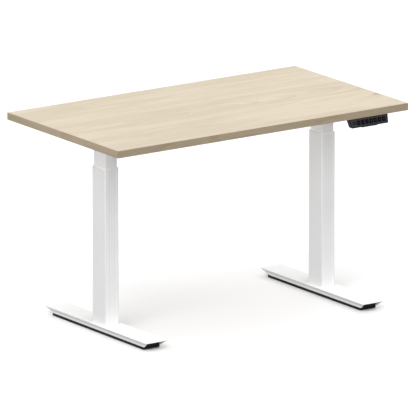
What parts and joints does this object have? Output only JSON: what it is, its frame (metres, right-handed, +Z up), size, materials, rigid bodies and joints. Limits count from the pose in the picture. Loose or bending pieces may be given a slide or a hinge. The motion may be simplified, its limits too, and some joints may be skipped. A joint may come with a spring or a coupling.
{
  "type": "height adjustable standing desk",
  "caption": "Rectangular light oak desktop on a white steel frame with telescopic electric columns, T-shaped feet and a tilted push-button handset under the front edge.",
  "frame": {"origin": "on the floor, midway between the outermost points in X and in Y, which is 3.5 mm in front of the point below the middle of the desktop", "axes": "+X to the user's right along the desktop's width, +Y away from the user, +Z up"},
  "size_m": [1.2, 0.677, 0.712],
  "materials": {
    "oak_laminate": "satin light oak laminate",
    "oak_edge": "satin light oak edge band",
    "white_steel": "fine white powder coat",
    "white_plastic": "matt white moulded",
    "black_plastic": "fine-textured black moulded",
    "key_plastic": "satin black moulded",
    "grey_plastic": "matt grey moulded",
    "zinc_steel": "zinc plated",
    "bare_steel": "rolled",
    "motor_can": "black paint",
    "display_lens": "dark smoked lens",
    "circuit_board": "green solder mask"
  },
  "bodies": {
    "left_leg": {"outer_tube_left": "white_steel", "guide_collar_left": "white_plastic", "column_base_left": "bare_steel", "nut_tube_left": "bare_steel", "foot_shell_left": "white_steel", "foot_stiffener_left": "bare_steel", "foot_sole_left": "black_plastic", "foot_bolts_left": "zinc_steel", "foot_end_caps_left": "black_plastic"},
    "top_frame": {"desktop_board": "oak_laminate", "edge_band_front": "oak_edge", "edge_band_back": "oak_edge", "edge_bands_side": "oak_edge", "side_bracket_left": "white_steel", "side_bracket_right": "white_steel", "crossbar_front_outer": "white_steel", "crossbar_front_inner": "white_steel", "crossbar_back_outer": "white_steel", "crossbar_back_inner": "white_steel", "inner_tube_left": "white_steel", "inner_tube_right": "white_steel", "column_head_left": "bare_steel", "column_head_right": "bare_steel", "frame_bolts": "zinc_steel", "desktop_screws": "zinc_steel", "glide_shoe_left": "grey_plastic", "glide_shoe_right": "grey_plastic", "control_sockets": "grey_plastic", "gear_motor_left": "motor_can", "gear_motor_right": "motor_can", "control_box_shell": "black_plastic", "control_box_lid": "black_plastic", "mains_inlet": "black_plastic", "handset_housing": "black_plastic", "handset_face": "black_plastic", "handset_display": "display_lens", "control_board": "circuit_board", "handset_board": "circuit_board"},
    "right_leg": {"outer_tube_right": "white_steel", "guide_collar_right": "white_plastic", "column_base_right": "bare_steel", "nut_tube_right": "bare_steel", "foot_shell_right": "white_steel", "foot_stiffener_right": "bare_steel", "foot_sole_right": "black_plastic", "foot_bolts_right": "zinc_steel", "foot_end_caps_right": "black_plastic"},
    "left_screw": {"spindle_left": "bare_steel"},
    "right_screw": {"spindle_right": "bare_steel"},
    "key_down_cap": {"key_down": "key_plastic"},
    "key_up_cap": {"key_up": "key_plastic"},
    "key_memory_1_cap": {"key_memory_1": "key_plastic"},
    "key_memory_2_cap": {"key_memory_2": "key_plastic"},
    "key_memory_3_cap": {"key_memory_3": "key_plastic"},
    "key_memory_4_cap": {"key_memory_4": "key_plastic"},
    "key_store_cap": {"key_store": "key_plastic"},
    "glide_front_left_foot": {"glide_front_left": "black_plastic"},
    "glide_back_left_foot": {"glide_back_left": "black_plastic"},
    "glide_front_right_foot": {"glide_front_right": "black_plastic"},
    "glide_back_right_foot": {"glide_back_right": "black_plastic"}
  },
  "joints": [
    {"name": "left_lift", "type": "slide", "parent": "left_leg", "child": "top_frame", "axis": [0, 0, 1], "range_m": [-0.02, 0.43]},
    {"name": "right_lift", "type": "slide", "parent": "top_frame", "child": "right_leg", "axis": [0, 0, -1], "range_m": [-0.02, 0.43]},
    {"name": "left_spindle_turn", "type": "hinge", "parent": "top_frame", "child": "left_screw", "pos_m": [-0.45, -0.0345, 0.537], "axis": [0, 0, 1], "range_deg": [-900, 19350]},
    {"name": "right_spindle_turn", "type": "hinge", "parent": "top_frame", "child": "right_screw", "pos_m": [0.45, -0.0345, 0.537], "axis": [0, 0, 1], "range_deg": [-900, 19350]},
    {"name": "key_down_press", "type": "slide", "parent": "top_frame", "child": "key_down_cap", "axis": [0, 0.9285, -0.3714], "range_m": [0, 0.0008], "stiffness_N_per_m": 400, "springref_m": -0.0012},
    {"name": "key_up_press", "type": "slide", "parent": "top_frame", "child": "key_up_cap", "axis": [0, 0.9285, -0.3714], "range_m": [0, 0.0008], "stiffness_N_per_m": 400, "springref_m": -0.0012},
    {"name": "key_memory_1_press", "type": "slide", "parent": "top_frame", "child": "key_memory_1_cap", "axis": [0, 0.9285, -0.3714], "range_m": [0, 0.0008], "stiffness_N_per_m": 400, "springref_m": -0.0012},
    {"name": "key_memory_2_press", "type": "slide", "parent": "top_frame", "child": "key_memory_2_cap", "axis": [0, 0.9285, -0.3714], "range_m": [0, 0.0008], "stiffness_N_per_m": 400, "springref_m": -0.0012},
    {"name": "key_memory_3_press", "type": "slide", "parent": "top_frame", "child": "key_memory_3_cap", "axis": [0, 0.9285, -0.3714], "range_m": [0, 0.0008], "stiffness_N_per_m": 400, "springref_m": -0.0012},
    {"name": "key_memory_4_press", "type": "slide", "parent": "top_frame", "child": "key_memory_4_cap", "axis": [0, 0.9285, -0.3714], "range_m": [0, 0.0008], "stiffness_N_per_m": 400, "springref_m": -0.0012},
    {"name": "key_store_press", "type": "slide", "parent": "top_frame", "child": "key_store_cap", "axis": [0, 0.9285, -0.3714], "range_m": [0, 0.0008], "stiffness_N_per_m": 400, "springref_m": -0.0012},
    {"name": "glide_front_left_level", "type": "slide", "parent": "left_leg", "child": "glide_front_left_foot", "axis": [0, 0, -1], "range_m": [0, 0.01]},
    {"name": "glide_back_left_level", "type": "slide", "parent": "left_leg", "child": "glide_back_left_foot", "axis": [0, 0, -1], "range_m": [0, 0.01]},
    {"name": "glide_front_right_level", "type": "slide", "parent": "right_leg", "child": "glide_front_right_foot", "axis": [0, 0, -1], "range_m": [0, 0.01]},
    {"name": "glide_back_right_level", "type": "slide", "parent": "right_leg", "child": "glide_back_right_foot", "axis": [0, 0, -1], "range_m": [0, 0.01]}
  ],
  "couplings": [
    {"joint": "right_lift", "follows": "left_lift", "ratio": 1},
    {"joint": "left_spindle_turn", "follows": "left_lift", "rad_per_m": 785.4},
    {"joint": "right_spindle_turn", "follows": "left_lift", "rad_per_m": 785.4}
  ]
}
